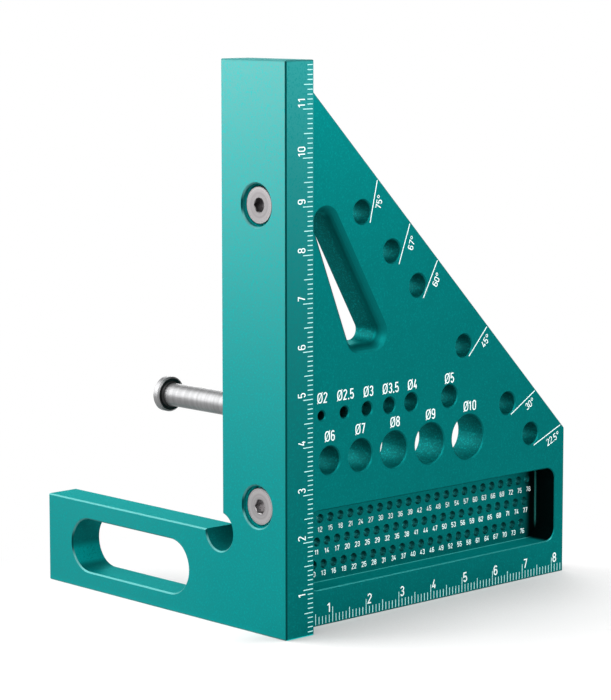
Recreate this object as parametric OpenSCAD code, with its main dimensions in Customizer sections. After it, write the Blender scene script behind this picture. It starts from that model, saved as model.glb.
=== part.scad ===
// Adjustable set square: an upright L frame whose back face is the fence, a 45 degree
// side plate screwed to that face, and a stop pin that is parked in the frame's post.
//
// Millimetres, +Z up. X = 0 is the middle of the side plate's thickness, Y = 0 is the
// frame's back face, where both scales on the side plate start, and Z = 0 is the underside.

/* [L frame] */
// Thickness of the frame
frame_t = 8; // [7:0.5:12]
// Width of the post
post_w = 20; // [18:0.5:26]
// Height of the post
post_h = 120; // [118:1:160]
// Length of the foot, from the post's ruled side to the foot's tip
foot_l = 80; // [78:1:120]
// Height of the foot
foot_h = 20; // [18:0.5:28]
// Bevel along the frame's edges
frame_edge = 0.3; // [0.2:0.1:0.6]
// Radius of the round relief at the inner corner
relief_r = 4.2; // [3:0.1:5]
// How far the relief's centre lies from the post's inner side
relief_shift = 1; // [0:0.1:1.5]

/* [Foot slot] */
// Length of the slot in the foot, over its round ends
foot_slot_l = 40.2; // [30:0.2:44]
// Height of the slot in the foot
foot_slot_h = 12; // [8:0.5:14]
// Distance from the foot's tip to the middle of the slot
foot_slot_middle = 28.7; // [25:0.1:30]
// Bevel around the slot in the foot
foot_slot_edge = 0.3; // [0.1:0.1:0.6]

/* [Side plate] */
// Thickness of the side plate
plate_t = 8; // [7:0.5:9]
// Length of the side plate, away from the fence
plate_l = 84; // [82:1:110]
// Height of the side plate's upright end
plate_low = 33.65; // [30:0.05:36]
// How far the side plate's outer face is set back from the ruled side of the post
plate_recess = 5; // [4:0.5:6]
// Bevel along the side plate's edges
plate_edge = 0.2; // [0.1:0.1:0.5]

/* [Angle holes] */
// Diameter of the angle holes, which take the stop pin
angle_hole_d = 5.1; // [4.6:0.1:5.6]
// Distance from the sloping edge to the row of angle holes
angle_hole_inset = 8.2; // [7:0.1:9]
// How far in front of the fence the angle lines meet
angle_pivot = 2.15; // [0:0.05:4]

/* [Gauge holes] */
// Distance from the fence to the first small gauge hole
small_first = 6.8; // [6.5:0.1:7.5]
// Distance from one small gauge hole to the next
small_pitch = 6.72; // [6.4:0.02:7]
// Height of the row of small gauge holes
small_z = 45.1; // [44.5:0.1:47]
// Distance from the fence to the single gauge hole at the end of that row
single_y = 45.65; // [43:0.05:47]
// Distance from the fence to the first large gauge hole
large_first = 9.1; // [8.8:0.1:10]
// Material left between one large gauge hole and the next
large_web = 2.65; // [2:0.05:3]
// Height of the row of large gauge holes
large_z = 35.3; // [35:0.1:36]
// Bevel around the gauge holes and the angle holes
hole_edge = 0.25; // [0.1:0.05:0.4]

/* [Thumb slot] */
// Distance from the fence to the slot's upper end
thumb_top_y = 8.05; // [7.5:0.05:9]
// Height of the centre of the slot's upper end
thumb_top_z = 85.5; // [80:0.1:85.6]
// Height of the centres of the slot's lower corners
thumb_low_z = 61.2; // [58:0.1:64]
// Distance from the fence to the lower corner nearer to it
thumb_near_y = 17.8; // [16:0.1:19]
// Distance from the fence to the lower corner farther from it
thumb_far_y = 22.3; // [21:0.1:24]
// Radius of the slot's three corners
thumb_r = 2.2; // [1.5:0.1:2.3]
// How much wider the slot's rounded mouth is at the outer face
thumb_mouth_w = 1.7; // [0.5:0.1:1.9]
// Depth of that mouth, where its round runs into the slot's wall
thumb_mouth_h = 3.1; // [2:0.1:4]

/* [Scribing pocket] */
// Depth of the pocket in the outer face
pocket_d = 6; // [4:0.1:6.5]
// Height of the pocket's lower side
pocket_low = 7.8; // [7:0.1:8.5]
// Height of the pocket's upper side
pocket_high = 24.8; // [23.8:0.1:24.8]
// Material left between the fence and the pocket
pocket_near = 3; // [2:0.1:5]
// Distance from the fence to the pocket's far side
pocket_far = 80.9; // [80:0.1:81]
// Radius of the pocket's corners
pocket_r = 2.8; // [1:0.1:3]
// Bevel around the pocket
pocket_edge = 0.2; // [0.1:0.05:0.3]
// Diameter of the scribing holes
scribe_d = 2; // [0.8:0.1:2.2]
// Number of scribing holes in a row
scribe_columns = 23; // [5:1:23]
// Distance from the fence to the first scribing hole
scribe_first = 10; // [8:0.5:12]
// Step from one row of scribing holes to the next, along the plate
scribe_step = 1; // [0.8:0.1:1]
// Height of the lowest row of scribing holes
scribe_low = 11.5; // [11:0.1:12]
// Distance between the rows of scribing holes
scribe_rise = 5; // [4:0.1:5]

/* [Screws] */
// Height of the lower screw
lower_screw_z = 27; // [26.9:0.1:28]
// Height of the upper screw
upper_screw_z = 90.1; // [90.1:0.1:96]
// Diameter of the screw heads
screw_head_d = 8; // [7:0.1:8.5]
// Height of the screw heads
screw_head_h = 2.4; // [2:0.1:3]
// How far the heads lie below the frame's front face
screw_sink = 0.8; // [0.3:0.1:1.5]
// Diameter of the screws below the head, where the thread is shown as a plain bar
screw_d = 3.5; // [3:0.1:3.5]
// Length of the screws below the head
screw_l = 14; // [10:0.5:16]
// Width of the hexagon sockets, across flats
socket_w = 2.8; // [2:0.1:3]
// Depth of the hexagon sockets
socket_h = 1.5; // [1:0.1:1.8]
// Bevel of the sockets' flat sides
socket_edge = 0.17; // [0.05:0.01:0.2]
// Bevel around the screw heads
screw_edge = 0.2; // [0.1:0.05:0.3]
// Gap around a screw head in its counterbore
head_gap = 0.5; // [0.2:0.1:0.8]
// Gap around a screw in the frame
shank_gap = 0.45; // [0.2:0.05:0.6]
// Gap around a screw in the side plate
thread_gap = 0.05; // [0.02:0.01:0.05]
// Gap beyond the end of a screw
screw_end_gap = 1; // [0.5:0.1:2]
// Bevel around the counterbores
counterbore_edge = 0.3; // [0.1:0.1:0.5]

/* [Dowels] */
// Height of the lower dowel
lower_dowel_z = 40; // [39.5:0.5:41]
// Height of the upper dowel
upper_dowel_z = 103; // [98:0.5:106]
// Diameter of the dowels
dowel_d = 3; // [2:0.1:3]
// Length of the dowels
dowel_l = 11; // [8:0.5:12]
// How deep the dowels sit in the frame
dowel_seat = 5; // [3:0.5:6]
// Gap around a dowel in its holes
dowel_gap = 0.01; // [0.01:0.01:0.03]
// Gap beyond each end of a dowel
dowel_end_gap = 0.3; // [0.1:0.1:0.5]
// Bevel at the mouths of the dowels' holes
dowel_mouth = 0.3; // [0.1:0.1:0.5]
// Bevel at the ends of the dowels
dowel_edge = 0.4; // [0.2:0.1:0.6]

/* [Stop pin] */
// Diameter of the stop pin
pin_d = 5; // [4:0.1:5]
// Length of the stop pin below its head
pin_l = 35; // [30:0.5:45]
// How deep the pin is parked in the post
pin_parked = 14; // [10:0.5:15]
// Height of the parked pin
pin_z = 46.8; // [46:0.1:70]
// Diameter of the pin's head
pin_head_d = 7.6; // [7:0.1:9]
// Thickness of the pin's head
pin_head_h = 2; // [1.5:0.1:3]
// Rounding of the pin's head
pin_head_edge = 0.35; // [0.1:0.05:0.5]
// Width of the shoulder between the pin and its head
pin_collar_w = 0.35; // [0.2:0.05:0.6]
// Thickness of that shoulder
pin_collar_h = 0.4; // [0.2:0.1:0.8]
// Bevel at the pin's tip
pin_tip = 0.5; // [0.3:0.1:0.8]
// Gap around the pin in its parking hole
pin_gap = 0.05; // [0.03:0.01:0.1]
// Gap between the pin's tip and the end of its parking hole
pin_end_gap = 0.3; // [0.1:0.1:0.5]
// Bevel at the mouth of the parking hole
pin_mouth = 0.3; // [0.1:0.1:0.5]

/* [Hidden] */

$fn = 64;
anodised = [0.02, 0.47, 0.46];
steel = [0.62, 0.62, 0.63];
pin_steel = [0.7, 0.7, 0.72];

// Angles that the square sets, in degrees
angles = [75, 67.5, 60, 45, 30, 22.5];
// Small gauge holes, as diameters over that of the first, and the same for the large ones
small_d = 2;
small_d_step = 0.5;
small_count = 5;
single_d = 5;
large_d = 6;
large_d_step = 1;
large_count = 5;
scribe_rows = 3;
// Steps in a rounded edge
round_steps = 6;

// Overrun of every cut
over = 1;
// How far a slot's straight sides lie inside its corner circles, so that they cross cleanly
inlay = 0.004;

// The frame's sides, from the plate's middle
ruled_x = plate_t / 2 + plate_recess;
inner_x = ruled_x - post_w;
tip_x = ruled_x - foot_l;
// Height of the side plate at the fence, under an edge that slopes at 45 degrees
plate_high = plate_low + plate_l;
// Where the angle holes' row would meet the fence
angle_row = plate_high - angle_hole_inset * sqrt(2);

counterbore_d = screw_head_d + 2 * head_gap;
counterbore_h = screw_sink + screw_head_h;

// Centre of the angle hole for the angle a. A line at that angle from the pivot touches the
// pin on the side that faces away from the fence.
function angle_hole(a) =
    let (
        r = angle_hole_d / 2,
        along = (angle_row + angle_pivot + r * (sin(a) - cos(a))) / (cos(a) + sin(a))
    )
    [along * cos(a) - angle_pivot - r * sin(a), along * sin(a) + r * cos(a)];

function small_y(i) = small_first + i * small_pitch;

// Centres of the large gauge holes, each a web and two radii after the one before
function large_size(i) = large_d + i * large_d_step;
function large_y(i) =
    i == 0 ? large_first : large_y(i - 1) + (large_size(i - 1) + large_size(i)) / 2 + large_web;

function scribe_column(row) = scribe_first + row * scribe_step;

// Draws with x along Y, y along Z and z along X, from the plate's middle plane
module in_plate() {
    rotate([90, 0, 90]) children();
}

// Draws with x along X, y along Z and z towards the front, from the fence's plane
module in_frame() {
    rotate([90, 0, 0]) children();
}

// Cuts a bevel c along an edge of length l that runs up from the origin
module bevel(l, c) {
    translate([0, 0, -over]) linear_extrude(l + 2 * over) rotate(45) square(c * sqrt(2), center = true);
}

// A hole of depth h below the origin, with a bevel c at its mouth
module bored(r, h, c) {
    translate([0, 0, -h]) cylinder(r = r, h = h + over);
    translate([0, 0, -c]) cylinder(r1 = r, r2 = r + c + over, h = c + over);
}

// A through hole in a wall of thickness t that is centred on the origin, bevelled at both ends
module through(r, t, c) {
    cylinder(r = r, h = t + 2 * over, center = true);
    for (side = [0, 1]) mirror([0, 0, side]) translate([0, 0, t / 2]) bored(r, c, c);
}

// Half widths and depths of a mouth that opens from r to r + w over the depth h, no less than w.
// It is an arc that runs into the wall, in the given number of steps, so one step is a bevel.
// Its last point is one step past the wall.
function mouth(r, w, h, steps) =
    let (
        arc_r = (h * h + w * w) / (2 * w),
        arc_a = asin(h / arc_r),
        edge = [for (i = [0 : steps]) let (a = arc_a * (1 - i / steps))
                [r + arc_r * (1 - cos(a)), arc_r * sin(a) - h]]
    )
    concat([[r + w, over]], edge, [2 * edge[steps] - edge[steps - 1]]);

// A ring of mouths at the corners, joined by straight ones: the rim of a slot with round corners
module rim(corners, r, w, h, steps) {
    round_side = mouth(r, w, h, steps);
    flat_side = mouth(r - inlay, w, h, steps);
    last = len(round_side) - 1;
    count = len(corners);
    for (i = [0 : count - 1]) {
        from = corners[i];
        span = corners[(i + 1) % count] - from;
        translate(from) {
            rotate_extrude() polygon(concat([[0, over]], round_side, [[0, round_side[last].y]]));
            rotate([90, 0, atan2(span.y, span.x) + 90]) linear_extrude(norm(span))
                polygon(concat(flat_side, [for (j = [last : -1 : 0]) [-flat_side[j].x, flat_side[j].y]]));
        }
    }
}

// The area inside such a slot: its corners' circles, the bands between them and the middle
module slot_area(corners, r) {
    half = r - inlay;
    count = len(corners);
    if (count > 2) polygon(corners);
    for (i = [0 : count - 1]) {
        from = corners[i];
        span = corners[(i + 1) % count] - from;
        translate(from) {
            circle(r = r);
            rotate(atan2(span.y, span.x)) translate([0, -half]) square([norm(span), 2 * half]);
        }
    }
}

// The frame's outline, without its relief
module frame_outline() {
    polygon([
        [tip_x, 0],
        [ruled_x, 0],
        [ruled_x, post_h],
        [inner_x, post_h],
        [inner_x, foot_h],
        [tip_x, foot_h]
    ]);
}

// Bevels along the outline's edges on the face at the origin's height
module frame_rim() {
    relief_x = inner_x - relief_shift;
    rotate([0, 90, 0]) translate([0, 0, tip_x]) bevel(foot_l, frame_edge);
    translate([ruled_x, 0, 0]) rotate([-90, 0, 0]) bevel(post_h, frame_edge);
    translate([inner_x, post_h, 0]) rotate([0, 90, 0]) bevel(post_w, frame_edge);
    translate([inner_x, foot_h + over, 0]) rotate([-90, 0, 0]) bevel(post_h - foot_h, frame_edge);
    translate([tip_x, foot_h, 0]) rotate([0, 90, 0]) bevel(relief_x - tip_x - over, frame_edge);
    translate([tip_x, 0, 0]) rotate([-90, 0, 0]) bevel(foot_h, frame_edge);
}

module l_frame() {
    slot_middle = tip_x + foot_slot_middle;
    slot_r = foot_slot_h / 2;
    slot_half = foot_slot_l / 2 - slot_r;
    slot_ends = [[slot_middle - slot_half, foot_h / 2], [slot_middle + slot_half, foot_h / 2]];
    relief = [inner_x - relief_shift, foot_h];
    color(anodised) difference() {
        in_frame() difference() {
            linear_extrude(frame_t) frame_outline();
            frame_rim();
            translate([0, 0, frame_t]) frame_rim();
            for (corner = [[tip_x, 0], [ruled_x, 0], [ruled_x, post_h], [inner_x, post_h], [tip_x, foot_h]])
                translate(corner) bevel(frame_t, frame_edge);
            translate([0, 0, -over]) linear_extrude(frame_t + 2 * over) slot_area(slot_ends, slot_r);
            translate([0, 0, frame_t]) rim(slot_ends, slot_r, foot_slot_edge, foot_slot_edge, 1);
            mirror([0, 0, 1]) rim(slot_ends, slot_r, foot_slot_edge, foot_slot_edge, 1);
            translate([relief.x, relief.y, frame_t / 2]) through(relief_r, frame_t, frame_edge);
            for (z = [lower_screw_z, upper_screw_z]) translate([0, z, frame_t]) {
                bored(counterbore_d / 2, counterbore_h, counterbore_edge);
                translate([0, 0, -frame_t - over]) cylinder(r = screw_d / 2 + shank_gap, h = frame_t);
            }
            for (z = [lower_dowel_z, upper_dowel_z]) translate([0, z, 0]) mirror([0, 0, 1])
                bored(dowel_d / 2 + dowel_gap, dowel_seat + dowel_end_gap, dowel_mouth);
        }
        translate([inner_x, -frame_t / 2, pin_z]) rotate([0, -90, 0])
            bored(pin_d / 2 + pin_gap, pin_parked + pin_end_gap, pin_mouth);
    }
}

// The side plate's outline, in Y and Z
module plate_outline() {
    polygon([[0, 0], [plate_l, 0], [plate_l, plate_low], [0, plate_high]]);
}

// Bevels along the outline's edges, but for the one at the fence
module plate_rim() {
    rotate([0, 90, 0]) bevel(plate_l, plate_edge);
    translate([plate_l, 0, 0]) rotate([-90, 0, 0]) bevel(plate_low, plate_edge);
    translate([plate_l, plate_low, 0]) rotate([-90, 0, 45]) bevel(plate_l * sqrt(2), plate_edge);
}

module side_plate() {
    pocket_corners = [
        [pocket_near + pocket_r, pocket_low + pocket_r],
        [pocket_far - pocket_r, pocket_low + pocket_r],
        [pocket_far - pocket_r, pocket_high - pocket_r],
        [pocket_near + pocket_r, pocket_high - pocket_r]
    ];
    thumb_corners = [[thumb_top_y, thumb_top_z], [thumb_near_y, thumb_low_z], [thumb_far_y, thumb_low_z]];
    floor_t = plate_t - pocket_d;
    color(anodised) difference() {
        in_plate() difference() {
            translate([0, 0, -plate_t / 2]) linear_extrude(plate_t) plate_outline();
            for (side = [0, 1]) mirror([0, 0, side]) translate([0, 0, plate_t / 2]) plate_rim();
            for (a = angles) translate(angle_hole(a)) through(angle_hole_d / 2, plate_t, hole_edge);
            for (i = [0 : small_count - 1]) translate([small_y(i), small_z])
                through((small_d + i * small_d_step) / 2, plate_t, hole_edge);
            translate([single_y, small_z]) through(single_d / 2, plate_t, hole_edge);
            for (i = [0 : large_count - 1]) translate([large_y(i), large_z])
                through(large_size(i) / 2, plate_t, hole_edge);
            translate([0, 0, -plate_t / 2 - over]) linear_extrude(plate_t + 2 * over)
                slot_area(thumb_corners, thumb_r);
            translate([0, 0, plate_t / 2])
                rim(thumb_corners, thumb_r, thumb_mouth_w, thumb_mouth_h, round_steps);
            translate([0, 0, plate_t / 2 - pocket_d]) linear_extrude(pocket_d + over)
                slot_area(pocket_corners, pocket_r);
            translate([0, 0, plate_t / 2]) rim(pocket_corners, pocket_r, pocket_edge, pocket_edge, 1);
            for (row = [0 : scribe_rows - 1], column = [0 : scribe_columns - 1])
                translate([scribe_column(row) + column * scribe_rows * scribe_step,
                           scribe_low + row * scribe_rise, -plate_t / 2 - over])
                    cylinder(d = scribe_d, h = floor_t + 2 * over, $fn = 24);
        }
        for (z = [lower_screw_z, upper_screw_z]) translate([0, 0, z]) rotate([90, 0, 0])
            bored(screw_d / 2 + thread_gap, screw_l - frame_t + counterbore_h + screw_end_gap, plate_edge);
        for (z = [lower_dowel_z, upper_dowel_z]) translate([0, 0, z]) rotate([90, 0, 0])
            bored(dowel_d / 2 + dowel_gap, dowel_l - dowel_seat + dowel_end_gap, dowel_mouth);
    }
}

// A socket head screw at the height z, with its head sunk in the frame's front face
module screw(z) {
    head_y = screw_sink - frame_t;
    top = screw_edge;
    color(steel) translate([0, head_y, z]) rotate([-90, 0, 0]) difference() {
        union() {
            cylinder(r1 = screw_head_d / 2 - top, r2 = screw_head_d / 2, h = top);
            translate([0, 0, top]) cylinder(d = screw_head_d, h = screw_head_h - top);
            cylinder(d = screw_d, h = screw_head_h + screw_l);
        }
        translate([0, 0, -over]) cylinder(d = socket_w / cos(30), h = socket_h + over, $fn = 6);
        translate([0, 0, -over])
            cylinder(r1 = socket_w / 2 + socket_edge + over, r2 = socket_w / 2, h = socket_edge + over);
    }
}

module upper_screw() {
    screw(upper_screw_z);
}

module lower_screw() {
    screw(lower_screw_z);
}

// A dowel at the height z, half in the frame and half in the side plate
module dowel(z) {
    color(steel) translate([0, -dowel_seat, z]) rotate([-90, 0, 0]) {
        cylinder(r1 = dowel_d / 2 - dowel_edge, r2 = dowel_d / 2, h = dowel_edge);
        translate([0, 0, dowel_edge]) cylinder(d = dowel_d, h = dowel_l - 2 * dowel_edge);
        translate([0, 0, dowel_l - dowel_edge])
            cylinder(r1 = dowel_d / 2, r2 = dowel_d / 2 - dowel_edge, h = dowel_edge);
    }
}

module upper_dowel() {
    dowel(upper_dowel_z);
}

module lower_dowel() {
    dowel(lower_dowel_z);
}

// The stop pin as one turned profile, from its tip at the origin to the top of its head
module stop_pin() {
    r = pin_d / 2;
    head_r = pin_head_d / 2;
    head_top = pin_l + pin_head_h;
    color(pin_steel) translate([inner_x + pin_parked, -frame_t / 2, pin_z]) rotate([0, -90, 0])
        rotate_extrude() polygon([
            [0, 0],
            [r - pin_tip, 0],
            [r, pin_tip],
            [r, pin_l - pin_collar_h],
            [r + pin_collar_w, pin_l],
            [head_r - pin_head_edge, pin_l],
            [head_r, pin_l + pin_head_edge],
            [head_r, head_top - pin_head_edge],
            [head_r - pin_head_edge, head_top],
            [0, head_top]
        ]);
}

l_frame();
side_plate();
upper_screw();
lower_screw();
upper_dowel();
lower_dowel();
stop_pin();
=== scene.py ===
"""Looks of the adjustable set square: anodised plates, turned steel and white marks.

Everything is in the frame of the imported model: X = 0 is the middle of the side plate's
thickness, Y = 0 is the fence and Z = 0 is the underside. Names that end in _MM, and all sizes
and places of the marks, are in millimetres. The rest is in metres.
"""

import math

import bmesh
import bpy
from mathutils import Matrix, Vector


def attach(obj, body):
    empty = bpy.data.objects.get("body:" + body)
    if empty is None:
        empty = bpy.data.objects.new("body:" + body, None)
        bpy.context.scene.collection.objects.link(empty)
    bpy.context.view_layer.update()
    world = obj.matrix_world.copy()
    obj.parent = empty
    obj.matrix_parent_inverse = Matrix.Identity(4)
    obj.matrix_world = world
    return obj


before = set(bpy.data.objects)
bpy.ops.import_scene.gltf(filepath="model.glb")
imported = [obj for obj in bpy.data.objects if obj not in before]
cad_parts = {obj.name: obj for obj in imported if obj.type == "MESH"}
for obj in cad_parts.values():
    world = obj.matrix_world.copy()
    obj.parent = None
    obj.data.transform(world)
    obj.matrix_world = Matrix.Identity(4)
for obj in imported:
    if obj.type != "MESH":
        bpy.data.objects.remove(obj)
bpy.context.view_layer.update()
MM = 0.001

# Camera, solved from the marks of both scales, for a picture of 611 x 700
PICTURE_W = 611
PICTURE_H = 700
SENSOR_MM = 36.0
FOCAL_PX = 2631.3
CENTRE_PX = (320.0, 300.0)
TURN = 0.812194
PITCH = 0.118715
EYE_MM = (400.6226, -369.6218, 134.851)


def make_camera():
    data = bpy.data.cameras.new("camera")
    data.sensor_fit = "AUTO"
    data.sensor_width = SENSOR_MM
    data.lens = FOCAL_PX / PICTURE_H * SENSOR_MM
    data.shift_x = (PICTURE_W / 2 - CENTRE_PX[0]) / PICTURE_H
    data.shift_y = (CENTRE_PX[1] - PICTURE_H / 2) / PICTURE_H
    data.clip_start = 0.01
    data.clip_end = 50.0
    cam = bpy.data.objects.new("camera", data)
    level = math.cos(PITCH)
    ahead = Vector((-math.sin(TURN) * level, math.cos(TURN) * level, -math.sin(PITCH)))
    right = Vector((math.cos(TURN), math.sin(TURN), 0.0))
    up = right.cross(ahead)
    turn = Matrix((right, up, -ahead)).transposed()
    cam.matrix_world = Matrix.Translation(Vector(EYE_MM) * MM) @ turn.to_4x4()
    bpy.context.scene.collection.objects.link(cam)
    bpy.context.scene.camera = cam


# Places of the colour mix node's sockets
MIX_FACTOR = 0
MIX_A = 6
MIX_B = 7
MIX_RESULT = 2


class Tree:
    """A short way to write shader nodes: each call makes a node and joins its inputs."""

    def __init__(self, owner):
        owner.use_nodes = True
        self.tree = owner.node_tree
        self.tree.nodes.clear()

    def node(self, kind, inputs=None, **settings):
        made = self.tree.nodes.new(kind)
        for key, value in settings.items():
            setattr(made, key, value)
        for key, value in (inputs or {}).items():
            socket = made.inputs[key]
            if isinstance(value, bpy.types.NodeSocket):
                self.tree.links.new(value, socket)
            else:
                socket.default_value = value
        return made

    def math(self, operation, a, b=0.0, clamp=False):
        made = self.node("ShaderNodeMath", {0: a, 1: b}, operation=operation, use_clamp=clamp)
        return made.outputs[0]

    def product(self, *factors):
        value = factors[0]
        for factor in factors[1:]:
            value = self.math("MULTIPLY", value, factor)
        return value

    def split(self, vector):
        return self.node("ShaderNodeSeparateXYZ", {"Vector": vector}).outputs

    def ramp(self, value, low, high, to_low=0.0, to_high=1.0):
        """A smooth step from one value to another, between two inputs in either order."""
        made = self.node("ShaderNodeMapRange", {"Value": value, "From Min": low, "From Max": high,
                                                "To Min": to_low, "To Max": to_high},
                         interpolation_type="SMOOTHSTEP")
        return made.outputs["Result"]

    def ramp_mm(self, value, low, high):
        return self.ramp(value, low * MM, high * MM)

    def noise(self, where, scale, detail=2.0, roughness=0.5):
        made = self.node("ShaderNodeTexNoise", {"Vector": where, "Scale": scale, "Detail": detail,
                                                "Roughness": roughness})
        return made.outputs["Fac"]

    def colour(self, factor, a, b):
        made = self.node("ShaderNodeMix", {MIX_FACTOR: factor, MIX_A: a, MIX_B: b},
                         data_type="RGBA")
        return made.outputs[MIX_RESULT]

    def openness(self, distance):
        """1 in the open, less in holes and corners, as seen within a distance."""
        made = self.node("ShaderNodeAmbientOcclusion", {"Distance": distance}, samples=8)
        return made.outputs["AO"]

    def radius(self, place, centre_mm, across):
        """Distance from an axis through the centre. Across is 0 along the axis, and else 1."""
        centre = tuple(c * MM for c in centre_mm)
        offset = self.node("ShaderNodeVectorMath", {0: place, 1: centre}, operation="SUBTRACT")
        flat = self.node("ShaderNodeVectorMath", {0: offset.outputs[0], 1: across},
                         operation="MULTIPLY")
        made = self.node("ShaderNodeVectorMath", {0: flat.outputs[0]}, operation="LENGTH")
        return made.outputs["Value"]

    def bump(self, height, strength, distance):
        made = self.node("ShaderNodeBump", {"Strength": strength, "Distance": distance,
                                            "Height": height})
        return made.outputs["Normal"]

    def principled(self, body, rough, normal, **more):
        """Sets a shader as the material's surface. In the names of more, _ stands for a space."""
        inputs = {"Base Color": body, "Roughness": rough, "Normal": normal}
        inputs.update({key.replace("_", " "): value for key, value in more.items()})
        self.surface(self.node("ShaderNodeBsdfPrincipled", inputs), "ShaderNodeOutputMaterial")

    def surface(self, shader, output):
        self.node(output, {"Surface": shader.outputs[0]})


def rgba(colour, factor=1.0):
    return (*(factor * c for c in colour), 1.0)


WHITE = rgba((1, 1, 1))

# Grain of the anodised faces: scales of the noise, and the depth of its bumps
CLOUD_SCALE = 160.0
SPECK_SCALE = 2600.0
GRAIN_SCALE = 9000.0
FINE_BUMP = 0.00001
RING_BUMP = 0.00002

# How far around it a corner or hole paints shade into the plate's anodised colour,
# and light into the frame's
CAVITY_MM = 3.0

# Share of a normal along an axis at which a kind of face starts to count, and wholly does. A
# bevel lies between the two bevel bounds.
WALL = (0.3, 0.05)
FRONT = (0.8, 0.95)
SIDE = (0.5, 0.9)
UPRIGHT = (0.4, 0.1)
BEVEL_LOW = (0.15, 0.4)
BEVEL_HIGH = (0.99, 0.85)

# Colours of the anodised pieces, linear, with the painted light and shade that some of them carry
TEAL = (0.0, 0.182, 0.179)
SPECULAR_TINT = (0.2, 0.85, 0.83)
# Painted highlight on the frame's bevels
FRAME_BEVEL_HIGHLIGHT = (0.07, 0.23, 0.225)
# Painted shade on the frame's upright bevels
FRAME_UPRIGHT_BEVEL_SHADE = (0.0, 0.045, 0.045)
# Painted light: lit colours of the frame's front faces, and painted highlights at its top
FRAME_POST_FRONT_LIT = (0.005, 0.182, 0.179)
FRAME_FOOT_FRONT_LIT = (0.013, 0.195, 0.192)
FRAME_TOP_FRONT_HIGHLIGHT = (0.07, 0.196, 0.188)
FRAME_TOP_SIDE_HIGHLIGHT = (0.032, 0.3, 0.295)
# Painted light on the lower half of the slot's left end
SLOT_PAINTED_LIGHT = (0.0, 0.4, 0.394)
# Painted shade on the plate's bevels
PLATE_BEVEL_SHADE = (0.0, 0.135, 0.133)
# Painted light, highlights and shade in the pocket
POCKET_WALL_PAINTED_LIGHT = (0.0, 0.3, 0.295)
POCKET_FLOOR_HIGHLIGHT = (0.1, 0.62, 0.6)
POCKET_RIM_HIGHLIGHT = (0.03, 0.29, 0.28)
POCKET_FAR_END_SHADE = (0.0, 0.006, 0.006)
POCKET_CORNER_HIGHLIGHT = (0.07, 0.3, 0.28)


class Face:
    """The shaded point of an anodised piece: its place, its normal and how it faces an axis."""

    def __init__(self, t, axis):
        coords = t.node("ShaderNodeTexCoord").outputs
        self.place = coords["Object"]
        self.at = t.split(self.place)
        self.normal = t.split(coords["Normal"])
        self.facing = t.math("ABSOLUTE", self.normal[axis])
        self.bevel = t.product(t.ramp(self.facing, *BEVEL_LOW), t.ramp(self.facing, *BEVEL_HIGH))


def anodised(name, axis, painted_bevel, wall_shade, hole_shade_and_light, under, over):
    """Bead-blasted, dyed aluminium: a rough coloured metal under a thin clear film. Walls along
    the axis take the colour times a painted shade. Narrow holes and corners take the colour times
    a factor, painted shade on the plate and painted light on the frame, and bevels to the axis
    show as painted lines, highlights on the frame and shade on the plate. Under paints light and
    shade into the colour before the specks and holes go on, and over does so after the bevels."""
    mat = bpy.data.materials.new(name)
    t = Tree(mat)
    face = Face(t, axis)
    cloud = t.noise(face.place, CLOUD_SCALE, 3.0)
    grain = t.noise(face.place, GRAIN_SCALE, 2.0, 0.6)
    speck = t.noise(face.place, SPECK_SCALE, 2.0, 0.6)
    body = t.colour(t.ramp(cloud, 0.3, 0.7), rgba(TEAL, 0.96), rgba(TEAL))
    # Painted shade on the walls along the axis
    body = t.colour(t.ramp(face.facing, *WALL), body, rgba(TEAL, wall_shade))
    body = under(t, body, face)
    body = t.colour(t.ramp(speck, 0.48, 0.76), body, rgba(TEAL, 1.3))
    # Painted shade in the plate's holes and corners, painted light in the frame's
    sky = t.openness(CAVITY_MM * MM)
    body = t.colour(t.ramp(sky, 0.25, 0.55), rgba(TEAL, hole_shade_and_light), body)
    # Painted highlights on the frame's bevels, painted shade on the plate's
    body = t.colour(face.bevel, body, rgba(painted_bevel))
    body = over(t, body, face)
    wall = t.ramp(face.facing, *WALL, 0.0, 0.15)
    rough = t.math("ADD", t.ramp(grain, 0.3, 0.7, 0.5, 0.55), wall)
    t.principled(body, rough, t.bump(grain, 0.3, FINE_BUMP), Metallic=1.0,
                 Specular_Tint=rgba(SPECULAR_TINT), Coat_Weight=0.04, Coat_Roughness=0.5)
    return mat


# Where the frame's lit front colours change along X, the height that its painted highlight
# grows over, and its slot's left end, which has painted light
FRONT_LIT_X_MM = (-5.0, -50.0)
HIGHLIGHT_HEIGHT_MM = 125.0
SLOT_END_X_MM = (-49.5, -50.5)


def frame_fade(t, body, face):
    """Painted light: the front faces take lit colours, paler and redder along the foot, a painted
    highlight makes the frame paler towards the top, and the lower half of its slot's left end has
    painted light.
    """
    height = t.math("DIVIDE", face.at["Z"], HIGHLIGHT_HEIGHT_MM * MM)
    side = t.ramp(t.math("ABSOLUTE", face.normal["X"]), *SIDE)
    front = t.colour(t.ramp_mm(face.at["X"], *FRONT_LIT_X_MM), rgba(FRAME_POST_FRONT_LIT),
                     rgba(FRAME_FOOT_FRONT_LIT))
    body = t.colour(t.ramp(face.facing, *FRONT), body, front)
    top = t.colour(side, rgba(FRAME_TOP_FRONT_HIGHLIGHT), rgba(FRAME_TOP_SIDE_HIGHLIGHT))
    body = t.colour(t.math("MULTIPLY", height, height, True), body, top)
    # Painted light on the lower half of the slot's left end
    slot_lit = t.product(t.ramp_mm(face.at["X"], *SLOT_END_X_MM), t.ramp(face.normal["Z"], 0.0, 0.35),
                      t.ramp(face.normal["Z"], 0.88, 0.7), t.ramp(face.facing, *WALL))
    return t.colour(slot_lit, body, rgba(SLOT_PAINTED_LIGHT))


def frame_corners(t, body, face):
    """Painted shade: upright bevels are dark."""
    upright = t.ramp(t.math("ABSOLUTE", face.normal["Z"]), *UPRIGHT)
    return t.colour(t.product(face.bevel, upright), body, rgba(FRAME_UPRIGHT_BEVEL_SHADE))


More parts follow.
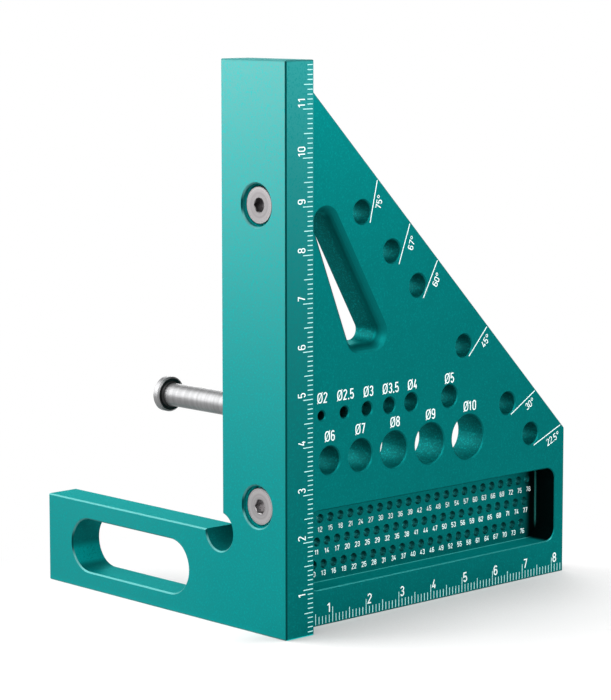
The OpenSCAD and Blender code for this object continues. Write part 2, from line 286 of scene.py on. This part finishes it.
def unchanged(t, body, face):
    return body


# Bounds of the pocket's painted light and shade, each from where it starts to where it is whole
POCKET_LOW_Z_MM = (8.8, 8.2)
POCKET_FLOOR_HIGHLIGHT_X_MM = (-1.2, -1.5)
POCKET_X_MM = ((3.9, 3.6), (-2.4, -2.1))
POCKET_Z_MM = ((6.8, 7.4), (25.6, 25.0))
POCKET_END_Y_MM = (81.4, 81.2)
POCKET_FAR_SHADE_Y_MM = (77.2, 79.2)
CORNER_HIGHLIGHT_X_MM = (-1.6, -1.8)
CORNER_HIGHLIGHT_Y_MM = (80.5, 80.7)
CORNER_HIGHLIGHT_Z_MM = (9.5, 12.0)


def pocket_shade(t, body, face):
    """Painted light on the pocket's lower wall, as light as the face, painted highlights on its
    floor edge, its rim and its far corner, and painted shade that makes its far end almost black."""
    at = face.at
    upward = face.normal["Z"]
    low = t.ramp_mm(at["Z"], *POCKET_LOW_Z_MM)
    # Painted light on the lower wall
    wall = t.product(low, t.ramp(upward, 0.7, 0.95))
    body = t.colour(wall, body, rgba(POCKET_WALL_PAINTED_LIGHT))
    # Painted highlight along the floor edge
    line = t.product(wall, t.ramp_mm(at["X"], *POCKET_FLOOR_HIGHLIGHT_X_MM))
    body = t.colour(line, body, rgba(POCKET_FLOOR_HIGHLIGHT))
    # Painted highlight on the rim
    rim = t.product(low, t.ramp(upward, 0.4, 0.6), t.ramp(upward, 0.9, 0.8))
    body = t.colour(rim, body, rgba(POCKET_RIM_HIGHLIGHT))
    sides = [t.ramp_mm(at["X"], *bound) for bound in POCKET_X_MM]
    sides += [t.ramp_mm(at["Z"], *bound) for bound in POCKET_Z_MM]
    inside = t.product(*sides, t.ramp_mm(at["Y"], *POCKET_END_Y_MM))
    # Painted shade that makes the far end almost black
    far_end_shade = t.product(inside, t.ramp_mm(at["Y"], *POCKET_FAR_SHADE_Y_MM))
    body = t.colour(far_end_shade, body, rgba(POCKET_FAR_END_SHADE))
    # Painted highlight on the far corner line
    corner_highlight = t.product(inside, t.ramp_mm(at["X"], *CORNER_HIGHLIGHT_X_MM),
                       t.ramp_mm(at["Y"], *CORNER_HIGHLIGHT_Y_MM), t.ramp_mm(at["Z"], *CORNER_HIGHLIGHT_Z_MM))
    return t.colour(corner_highlight, body, rgba(POCKET_CORNER_HIGHLIGHT))


def turned_face(name, colour, centre_mm):
    """Steel faced on a lathe: fine rings round an axis along Y through the centre."""
    mat = bpy.data.materials.new(name)
    t = Tree(mat)
    place = t.node("ShaderNodeTexCoord").outputs["Object"]
    radius = t.radius(place, centre_mm, (1.0, 0.0, 1.0))
    depth = t.math("MULTIPLY", t.split(place)["Y"], 0.3)
    line = t.node("ShaderNodeCombineXYZ", {"X": radius, "Y": depth}).outputs[0]
    rings = t.noise(line, 5200.0, 3.0, 0.7)
    bands = t.noise(line, 1300.0, 1.0)
    body = t.colour(t.ramp(bands, 0.3, 0.75), rgba(colour), rgba(colour, 0.72))
    rough = t.ramp(rings, 0.25, 0.75, 0.24, 0.42)
    t.principled(body, rough, t.bump(rings, 0.5, RING_BUMP), Metallic=1.0)
    return mat


def turned_bar(name, colour, axis, over):
    """Steel turned along an axis: fine rings across it, with a few broader bands and darker
    ends. Over paints shade into the colour last."""
    mat = bpy.data.materials.new(name)
    t = Tree(mat)
    coords = t.node("ShaderNodeTexCoord").outputs
    place = coords["Object"]
    at = t.split(place)
    facing = t.math("ABSOLUTE", t.split(coords["Normal"])[axis])
    squeezed = {a: t.math("MULTIPLY", at[a], 1.0 if a == axis else 0.04) for a in "XYZ"}
    line = t.node("ShaderNodeCombineXYZ", squeezed).outputs[0]
    rings = t.noise(line, 7000.0, 3.0, 0.7)
    bands = t.noise(line, 1500.0, 2.0)
    body = t.colour(t.ramp(bands, 0.35, 0.7), rgba(colour), rgba(colour, 0.8))
    body = t.colour(t.ramp(facing, *FRONT), body, rgba(colour, 0.4))
    body = over(t, body, place)
    rough = t.ramp(rings, 0.25, 0.75, 0.42, 0.52)
    t.principled(body, rough, t.bump(rings, 0.4, RING_BUMP), Metallic=1.0)
    return mat


# The pin's axis, and bounds of the painted shade in the hollow under its head
PIN_AXIS_MM = (0.0, -4.0, 46.8)
UNDER_HEAD_X_MM = (-31.5, -31.55)
UNDER_HEAD_R_MM = (3.55, 3.4)
UNDER_HEAD_SHADE = (0.027, 0.027, 0.02736)


# Painted shade: the hollow under the pin's head is dark
def under_head(t, body, place):
    radius = t.radius(place, PIN_AXIS_MM, (0.0, 1.0, 1.0))
    inner = t.product(t.ramp_mm(t.split(place)["X"], *UNDER_HEAD_X_MM),
                      t.ramp_mm(radius, *UNDER_HEAD_R_MM))
    return t.colour(inner, body, rgba(UNDER_HEAD_SHADE))


def mark_white(name, colour):
    """The chalky white of a laser mark, slightly uneven."""
    mat = bpy.data.materials.new(name)
    t = Tree(mat)
    place = t.node("ShaderNodeTexCoord").outputs["Object"]
    grain = t.noise(place, 6000.0, 2.0)
    body = t.colour(t.ramp(grain, 0.3, 0.7), rgba(colour), rgba(colour, 0.93))
    t.principled(body, 0.75, t.bump(grain, 0.3, FINE_BUMP))
    return mat


# Glyphs are strokes on a centre line that fills a box of w by h, drawn with the thickness t.
# An arc has this many steps in half a turn.
ARC_STEPS = 7


def arc(cx, cy, rx, ry, start, end):
    steps = max(3, round(ARC_STEPS * abs(end - start) / 180))
    angles = [math.radians(start + (end - start) * i / steps) for i in range(steps + 1)]
    return [(cx + rx * math.cos(a), cy + ry * math.sin(a)) for a in angles]


def loop(x0, y0, x1, y1):
    """A closed upright loop with round ends."""
    r = (x1 - x0) / 2
    ry = min(r, (y1 - y0) / 2)
    cx = (x0 + x1) / 2
    return arc(cx, y1 - ry, r, ry, 180, 0) + arc(cx, y0 + ry, r, ry, 0, -180)


def strokes(char, w, h):
    """The strokes of a character, each as its points and whether it is closed."""
    r = w / 2
    if char == "0":
        return [(loop(0, 0, w, h), True)]
    if char == "1":
        x = 0.62 * w
        flag = [(x, h - 0.04 * h), (0.08 * w, h - 0.24 * h)]
        return [([(x, 0), (x, h)], False), (flag, False)]
    if char == "2":
        return [(arc(r, h - r, r, r, 170, -28) + [(0, 0), (w, 0)], False)]
    if char == "3":
        top = arc(r, 0.76 * h, 0.95 * r, 0.24 * h, 160, -90)
        low = arc(r, 0.26 * h, r, 0.26 * h, 90, -160)
        return [(top + low[1:], False)]
    if char == "4":
        hook = [(0.6 * w, h), (0, 0.24 * h), (w, 0.24 * h)]
        stem = [(0.74 * w, 0.46 * h), (0.74 * w, 0)]
        return [(hook, False), (stem, False)]
    if char == "5":
        bowl = arc(r, 0.3 * h, r, 0.3 * h, 130, -155)
        return [([(0.95 * w, h), (0.06 * w, h), (0.02 * w, 0.52 * h)] + bowl, False)]
    if char == "6":
        hook = arc(r, h - r, r, r, 25, 180) + [(0, 0.3 * h)]
        return [(loop(0, 0, w, 0.58 * h), True), (hook, False)]
    if char == "7":
        return [([(0, h), (w, h), (0.34 * w, 0)], False)]
    if char == "8":
        top = loop(0.05 * w, 0.52 * h, 0.95 * w, h)
        return [(top, True), (loop(0, 0, w, 0.52 * h), True)]
    if char == "9":
        hook = arc(r, r, r, r, 205, 360) + [(w, 0.7 * h)]
        return [(loop(0, 0.42 * h, w, h), True), (hook, False)]
    if char == "Ø":
        slash = [(-0.08 * w, -0.1 * h), (1.08 * w, 1.1 * h)]
        return [(loop(0, 0, w, h), True), (slash, False)]
    raise ValueError(char)


def ribbon(points, closed, t):
    """Left and right sides of a stroke of width t, with mitred corners."""
    kept = [points[0]]
    for p in points[1:]:
        if math.dist(p, kept[-1]) > 1e-6:
            kept.append(p)
    if closed and math.dist(kept[0], kept[-1]) < 1e-6:
        kept.pop()
    count = len(kept)
    left, right = [], []
    for i, here in enumerate(kept):
        ins = Vector(here) - Vector(kept[i - 1]) if i or closed else None
        outs = Vector(kept[(i + 1) % count]) - Vector(here) if i < count - 1 or closed else None
        a = (ins or outs).normalized()
        b = (outs or ins).normalized()
        normal = Vector((-(a.y + b.y), a.x + b.x))
        normal.normalize()
        reach = t / 2 / max(0.5, normal.dot(Vector((-a.y, a.x))))
        left.append(Vector(here) + normal * reach)
        right.append(Vector(here) - normal * reach)
    return left, right


def stroke_mesh(points, closed, t, thick):
    """A closed prism over a stroke, from z = 0 to z = thick."""
    left, right = ribbon(points, closed, t)
    bm = bmesh.new()
    rows = [[bm.verts.new((p.x, p.y, z)) for p in side]
            for z in (0.0, thick) for side in (left, right)]
    low_l, low_r, top_l, top_r = rows
    count = len(left)
    for i in range(count if closed else count - 1):
        j = (i + 1) % count
        bm.faces.new((top_r[i], top_r[j], top_l[j], top_l[i]))
        bm.faces.new((low_l[i], low_l[j], low_r[j], low_r[i]))
        bm.faces.new((top_l[i], top_l[j], low_l[j], low_l[i]))
        bm.faces.new((low_r[i], low_r[j], top_r[j], top_r[i]))
    if not closed:
        bm.faces.new((top_r[0], top_l[0], low_l[0], low_r[0]))
        bm.faces.new((top_l[-1], top_r[-1], low_r[-1], low_l[-1]))
    bmesh.ops.recalc_face_normals(bm, faces=bm.faces)
    mesh = bpy.data.meshes.new("stroke")
    bm.to_mesh(mesh)
    bm.free()
    return mesh


def joined(meshes):
    """One mesh that is the union of closed meshes."""
    first = bpy.data.objects.new("glyph", meshes[0])
    bpy.context.scene.collection.objects.link(first)
    for other in meshes[1:]:
        second = bpy.data.objects.new("glyph_part", other)
        bpy.context.scene.collection.objects.link(second)
        union = first.modifiers.new("union", "BOOLEAN")
        union.operation = "UNION"
        union.solver = "EXACT"
        union.object = second
        graph = bpy.context.evaluated_depsgraph_get()
        result = bpy.data.meshes.new_from_object(first.evaluated_get(graph))
        first.modifiers.clear()
        first.data = result
        bpy.data.objects.remove(second)
    result = first.data
    bpy.data.objects.remove(first)
    return result


glyphs = {}


def glyph(char, w, h, t, thick):
    """The mesh of a character whose outside measures w by h, in millimetres."""
    key = (char, w, h, t)
    if key not in glyphs:
        if char == ".":
            glyphs[key] = stroke_mesh([(t * 0.6, 0), (t * 0.6, t * 1.2)], False, t * 1.2, thick)
        elif char == "°":
            ring = arc(0.17 * h, 0.17 * h, 0.17 * h, 0.17 * h, 0, 324)[:-1]
            glyphs[key] = stroke_mesh(ring, True, 0.7 * t, thick)
            glyphs[key].transform(Matrix.Translation((t / 2, 0.62 * h, 0)))
        else:
            slash = 0.7 * t if char == "Ø" else t
            glyphs[key] = joined([stroke_mesh(points, closed, t if closed else slash, thick)
                                  for points, closed in strokes(char, w - t, h - t)])
            glyphs[key].transform(Matrix.Translation((t / 2, t / 2, 0)))
    return glyphs[key]


# Width of the diameter sign, in digits
DIAMETER_WIDER = 1.32


def advance(char, w, t):
    """How wide a character is set."""
    return {"1": 0.72 * w, ".": 1.2 * t, "Ø": DIAMETER_WIDER * w, "°": 0.6 * w}.get(char, w)


class Marks:
    """White marks on one plane, gathered into one mesh. They stand 0.02 mm proud of the face."""

    SUNK = 0.01
    THICK = 0.03

    def __init__(self, name, x):
        self.name = name
        self.x = x - self.SUNK
        self.bm = bmesh.new()

    def add(self, mesh, right, up, at):
        """A flat mesh with its x along right and its y along up, both in Y and Z."""
        turn = Matrix(((0, 0, 1), (right[0], up[0], 0), (right[1], up[1], 0))).to_4x4()
        made = mesh.copy()
        made.transform(Matrix.Translation((self.x, at[0], at[1])) @ turn)
        self.bm.from_mesh(made)
        bpy.data.meshes.remove(made)

    def line(self, a, b, width):
        self.add(stroke_mesh([a, b], False, width, self.THICK), (1, 0), (0, 1), (0, 0))

    def text(self, words, size, at, gap, angle=0.0, centred=True):
        """Characters on a base line at an angle, with its middle or start at a point. The size is
        a character's width, height and stroke."""
        w, h, t = size
        right = (math.cos(angle), math.sin(angle))
        up = (-right[1], right[0])
        widths = [advance(c, w, t) for c in words]
        total = sum(widths) + gap * (len(words) - 1)
        x = -total / 2 if centred else 0.0
        for char, width in zip(words, widths):
            wide = DIAMETER_WIDER * w if char == "Ø" else w
            shift = x - (w - width) * 0.75 if char == "1" else x
            self.add(glyph(char, wide, h, t, self.THICK), right, up,
                     (at[0] + right[0] * shift, at[1] + right[1] * shift))
            x += width + gap

    def finish(self, material):
        for v in self.bm.verts:
            v.co *= MM
        mesh = bpy.data.meshes.new(self.name)
        self.bm.to_mesh(mesh)
        self.bm.free()
        obj = bpy.data.objects.new(self.name, mesh)
        mesh.materials.append(material)
        bpy.context.scene.collection.objects.link(obj)
        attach(obj, "square")


# Faces that carry marks
POST_SIDE_X = 9.0
PLATE_FACE_X = 4.0
POCKET_FLOOR_X = -2.0

# Marks of the scales: the last one, where they start, and the ends of the marks for 1, 5 and 10
MARK_WIDTH = 0.18
POST_LAST = 119
POST_START_Y = -0.5
POST_ENDS_Y = (-1.95, -2.92, -3.22)
BASE_LAST = 83
BASE_START_Z = 0.33
BASE_ENDS_Z = (2.0, 2.73, 3.6)

# Numbers of the scales: width, height and stroke, base line, gap, and the middles that stand
# elsewhere than the common step past their mark
POST_NUMBER = (1.02, 2.14, 0.225)
POST_NUMBER_Y = -2.56
POST_NUMBER_STEP = 1.07
POST_NUMBER_MIDDLES = {1: 9.1, 10: 101.4, 11: 111.38}
POST_NUMBER_GAPS = {11: 0.4}
POST_NUMBER_GAP = 0.15
BASE_NUMBER = (1.25, 2.25, 0.29)
BASE_NUMBER_Z = 2.45
BASE_NUMBER_STEP = 1.03
BASE_NUMBER_MIDDLES = {1: 9.02}


def mark_end(k, ends):
    short, middle, long = ends
    return long if k % 10 == 0 else middle if k % 5 == 0 else short


def post_scale(material, thin):
    ticks = Marks("post_scale_ticks", POST_SIDE_X)
    for k in range(1, POST_LAST + 1):
        ticks.line((POST_START_Y, k), (mark_end(k, POST_ENDS_Y), k), MARK_WIDTH)
    ticks.finish(thin)
    numbers = Marks("post_scale_numbers", POST_SIDE_X)
    for k in range(1, POST_LAST // 10 + 1):
        middle = POST_NUMBER_MIDDLES.get(k, 10 * k + POST_NUMBER_STEP)
        numbers.text(str(k), POST_NUMBER, (POST_NUMBER_Y, middle),
                     POST_NUMBER_GAPS.get(k, POST_NUMBER_GAP), angle=math.pi / 2)
    numbers.finish(material)


def base_scale(material, thin):
    ticks = Marks("base_scale_ticks", PLATE_FACE_X)
    for k in range(1, BASE_LAST + 1):
        ticks.line((k, BASE_START_Z), (k, mark_end(k, BASE_ENDS_Z)), MARK_WIDTH)
    ticks.finish(thin)
    numbers = Marks("base_scale_numbers", PLATE_FACE_X)
    for k in range(1, BASE_LAST // 10 + 1):
        middle = BASE_NUMBER_MIDDLES.get(k, 10 * k + BASE_NUMBER_STEP)
        numbers.text(str(k), BASE_NUMBER, (middle, BASE_NUMBER_Z), 0.0)
    numbers.finish(material)


# Gauge labels: words, middle along the plate and base line
GAUGE_LABEL = (1.12, 2.27, 0.27)
GAUGE_LABEL_GAP = 0.28
GAUGE_LABELS = [
    ("Ø2", 6.97, 47.75), ("Ø2.5", 13.76, 47.75), ("Ø3", 20.57, 47.72), ("Ø3.5", 27.3, 47.72),
    ("Ø4", 33.99, 47.8), ("Ø5", 45.59, 48.0), ("Ø6", 9.15, 39.38), ("Ø7", 18.15, 39.86),
    ("Ø8", 28.66, 40.2), ("Ø9", 39.65, 40.62), ("Ø10", 52.17, 41.12),
]

# Angle marks: words, inner and outer end of the line, and the label's start along it and off it
ANGLE_LINE_WIDTH = 0.22
ANGLE_LABEL = (0.92, 1.7, 0.2)
ANGLE_LABEL_GAP = 0.16
ANGLE_MARKS = [
    ("75°", (20.94, 85.01), (23.06, 93.95), 3.3, 2.5),
    ("67°", (29.69, 75.52), (32.97, 84.08), 3.95, 2.95),
    ("60°", (37.25, 67.62), (41.56, 75.49), 3.7, 2.7),
    ("45°", (51.77, 53.38), (57.53, 59.49), 4.4, 2.75),
    ("30°", (65.76, 38.77), (73.7, 43.35), 4.85, 2.5),
    ("22.5°", (73.57, 30.8), (82.58, 34.47), 4.1, 2.6),
]


def plate_labels(material):
    labels = Marks("gauge_labels", PLATE_FACE_X)
    for words, middle, low in GAUGE_LABELS:
        labels.text(words, GAUGE_LABEL, (middle, low), GAUGE_LABEL_GAP)
    labels.finish(material)
    lines = Marks("angle_lines", PLATE_FACE_X)
    words_on = Marks("angle_labels", PLATE_FACE_X)
    for words, inner, outer, start, off in ANGLE_MARKS:
        lines.line(inner, outer, ANGLE_LINE_WIDTH)
        along = (Vector(outer) - Vector(inner)).normalized()
        across = Vector((along.y, -along.x))
        at = Vector(inner) + along * start + across * off
        words_on.text(words, ANGLE_LABEL, at, ANGLE_LABEL_GAP,
                      angle=math.atan2(along.y, along.x), centred=False)
    lines.finish(material)
    words_on.finish(material)


# Numbers of the scribing holes, which stand 1 mm apart along the plate, in turn on three rows.
# A number drifts off its hole's middle along the plate, up to a limit.
SCRIBING_NUMBER = (0.69, 1.2, 0.175)
SCRIBING_GAP = 0.09
SCRIBING_ROWS_Z = (8.92, 13.7, 18.53)
SCRIBING_COLUMNS = 23
SCRIBING_FIRST = 10
DRIFT_FROM = 12
DRIFT_STEP = 0.017
DRIFT_LIMIT = 0.47


def scribing_numbers(material):
    numbers = Marks("scribing_numbers", POCKET_FLOOR_X)
    for row, low in enumerate(SCRIBING_ROWS_Z):
        for column in range(SCRIBING_COLUMNS):
            value = SCRIBING_FIRST + row + len(SCRIBING_ROWS_Z) * column
            drift = min(DRIFT_LIMIT, DRIFT_STEP * (value - DRIFT_FROM))
            numbers.text(str(value), SCRIBING_NUMBER, (value + drift, low), SCRIBING_GAP)
    numbers.finish(material)


# Colours of the steel pieces and the marks, and the middles of the screws. The two screws are
# one steel, painted as a shaded copy on the upper screw and a lit copy on the lower
UPPER_SCREW_SHADED = (0.168, 0.16, 0.162)
LOWER_SCREW_LIT = (0.34, 0.325, 0.33)
UPPER_SCREW_MM = (0.0, 0.0, 90.1)
LOWER_SCREW_MM = (0.0, 0.0, 27.0)
DOWELS = (0.5, 0.5, 0.51)
PIN = (0.225, 0.225, 0.228)
MARK = (0.84, 0.95, 0.94)
THIN_MARK = (0.46, 0.83, 0.81)


def set_material(node, material):
    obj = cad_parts[node]
    if not obj.material_slots:
        obj.data.materials.append(material)
    for slot in obj.material_slots:
        slot.material = material


def dress():
    white = mark_white("mark_white", MARK)
    thin = mark_white("mark_thin", THIN_MARK)
    # The frame's walls take a painted shade of 0.92 and its holes painted light of 4.5; the plate's
    # walls take a painted shade of 0.6 and its holes a painted shade of 0.07
    set_material("l_frame", anodised("frame_teal", "Y", FRAME_BEVEL_HIGHLIGHT, 0.92, 4.5,
                                     frame_fade, frame_corners))
    set_material("side_plate", anodised("plate_teal", "X", PLATE_BEVEL_SHADE, 0.6, 0.07,
                                        unchanged, pocket_shade))
    set_material("upper_screw", turned_face("upper_screw_shaded_steel", UPPER_SCREW_SHADED, UPPER_SCREW_MM))
    set_material("lower_screw", turned_face("lower_screw_lit_steel", LOWER_SCREW_LIT, LOWER_SCREW_MM))
    dowels = turned_bar("dowel_steel", DOWELS, "Y", unchanged)
    set_material("upper_dowel", dowels)
    set_material("lower_dowel", dowels)
    set_material("stop_pin", turned_bar("pin_steel", PIN, "X", under_head))
    post_scale(white, thin)
    base_scale(white, thin)
    plate_labels(white)
    scribing_numbers(white)


# Floor: its half size, the middle and the radii that it fades over to plain white for the eye,
# the reach of the painted contact shade and where that ends along X, its greys with and without
# that painted shade, the light that it shows of itself near the object, and what the far part
# casts back
FLOOR_HALF = 60.0
FLOOR_MIDDLE = (0.03, 0.012, 0.0)
FLOOR_FADE = (0.052, 0.125)
FLOOR_SHADE_REACH = 0.04
FLOOR_SHADE_X_MM = (8.0, -4.0)
FLOOR_PAINTED_SHADE = (0.36, 0.355, 0.355)
FLOOR_GREY = (0.58, 0.57, 0.57)
FLOOR_LIFT = 0.2
FLOOR_FAR_LIGHT = 0.65


def seen(t):
    """1 where a ray comes from the camera or from gloss or glass, and else 0."""
    path = t.node("ShaderNodeLightPath").outputs
    gloss = t.math("MAXIMUM", path["Is Glossy Ray"], path["Is Transmission Ray"])
    return t.math("MAXIMUM", path["Is Camera Ray"], gloss)


def make_floor():
    mesh = bpy.data.meshes.new("floor")
    half = FLOOR_HALF
    corners = [(-half, -half, 0), (half, -half, 0), (half, half, 0), (-half, half, 0)]
    mesh.from_pydata(corners, [], [(0, 1, 2, 3)])
    floor = bpy.data.objects.new("floor", mesh)
    bpy.context.scene.collection.objects.link(floor)
    mat = bpy.data.materials.new("floor")
    t = Tree(mat)
    place = t.node("ShaderNodeTexCoord").outputs["Object"]
    distance = t.node("ShaderNodeVectorMath", {0: place, 1: FLOOR_MIDDLE}, operation="DISTANCE")
    shown = seen(t)
    # Painted contact shade, darker near the object, on its right alone
    free = t.math("MAXIMUM", t.ramp(t.openness(FLOOR_SHADE_REACH), 0.45, 1.0),
                  t.ramp_mm(t.split(place)["X"], *FLOOR_SHADE_X_MM))
    grey = t.colour(free, rgba(FLOOR_PAINTED_SHADE), rgba(FLOOR_GREY))
    matte = t.node("ShaderNodeBsdfDiffuse", {"Color": grey})
    lift = t.node("ShaderNodeEmission", {"Color": WHITE,
                                         "Strength": t.math("MULTIPLY", shown, FLOOR_LIFT)})
    near = t.node("ShaderNodeAddShader", {0: matte.outputs[0], 1: lift.outputs[0]})
    far = t.node("ShaderNodeEmission", {"Color": WHITE,
                                        "Strength": t.ramp(shown, 0.0, 1.0, FLOOR_FAR_LIGHT, 1.0)})
    mix = t.node("ShaderNodeMixShader", {0: t.ramp(distance.outputs["Value"], *FLOOR_FADE),
                                         1: near.outputs[0], 2: far.outputs[0]})
    t.surface(mix, "ShaderNodeOutputMaterial")
    mesh.materials.append(mat)


# Strength of the world towards -Y and +Y
FRONT_SKY = 1.6
BACK_SKY = 0.25


def make_world():
    """Soft light all round, brighter in front of the fence than behind it."""
    world = bpy.data.worlds.new("world")
    bpy.context.scene.world = world
    t = Tree(world)
    way = t.split(t.node("ShaderNodeTexCoord").outputs["Generated"])
    strength = t.node("ShaderNodeMapRange", {"Value": way["Y"], "From Min": -1.0, "From Max": 1.0,
                                             "To Min": FRONT_SKY, "To Max": BACK_SKY})
    back = t.node("ShaderNodeBackground", {"Color": WHITE,
                                           "Strength": strength.outputs["Result"]})
    t.surface(back, "ShaderNodeOutputWorld")


# Lamps: name, place, what they point at, size, and power in watts
LAMPS = [
    ("key", (-0.32, -0.25, 0.235), (-0.02, 0.0, 0.06), (0.42, 0.4), 2.7),
    ("rim", (-0.36, 0.33, 0.16), (-0.03, 0.0, 0.03), (0.3, 0.2), 0.95),
    ("fill", (0.5, -0.3, 0.45), (0.0, 0.03, 0.05), (0.35, 0.35), 2.3),
    ("side", (0.14, 0.12, 0.17), (0.005, 0.0, 0.11), (0.1, 0.1), 0.17),
]


def make_lamps():
    for name, place, target, size, power in LAMPS:
        data = bpy.data.lights.new(name, "AREA")
        data.shape = "RECTANGLE"
        data.size, data.size_y = size
        data.energy = power
        obj = bpy.data.objects.new(name, data)
        obj.location = place
        ray = Vector(target) - Vector(place)
        obj.rotation_euler = ray.to_track_quat("-Z", "Y").to_euler()
        obj.visible_camera = False
        bpy.context.scene.collection.objects.link(obj)


make_camera()
make_floor()
make_world()
make_lamps()
dress()
bpy.context.scene.view_settings.view_transform = "Standard"
